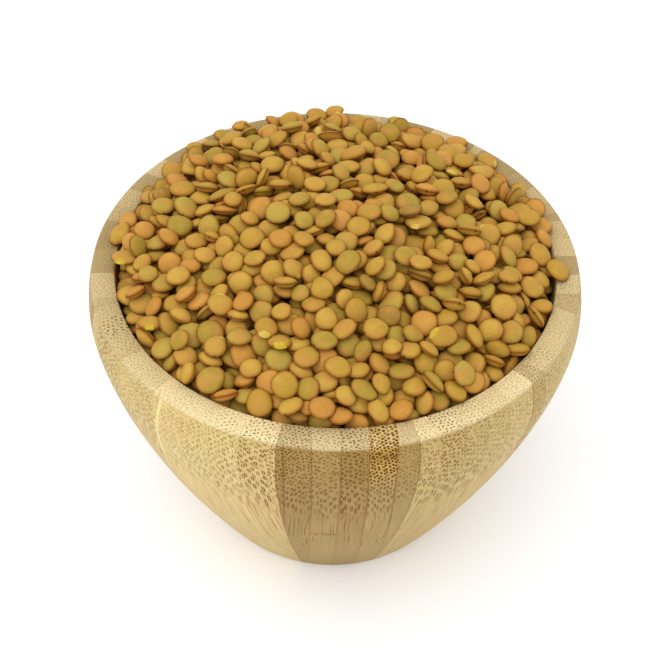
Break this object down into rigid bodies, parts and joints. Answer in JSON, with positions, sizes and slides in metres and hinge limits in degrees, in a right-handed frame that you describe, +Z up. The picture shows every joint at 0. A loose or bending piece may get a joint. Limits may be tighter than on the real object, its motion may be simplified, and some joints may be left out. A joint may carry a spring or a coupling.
{
  "type": "bowl of dry lentils",
  "caption": "Round bamboo bowl with a flat rim and a narrow flat foot, filled with a domed heap of dry lentils that stands above the rim.",
  "frame": {"origin": "centre of the bowl's flat foot, on the surface it stands on", "axes": "+Z up along the bowl's turning axis, -Y towards the viewer"},
  "size_m": [0.12, 0.12, 0.096],
  "materials": {
    "bamboo": "satin laminated bamboo, fibres run up the wall, fine brown fibre dots on the rim and shoulder",
    "lentils": "dry matt seed skins, khaki, olive and peach"
  },
  "bodies": {
    "root": {"bamboo_bowl": "bamboo", "lentil_heap": "lentils"}
  },
  "joints": []
}
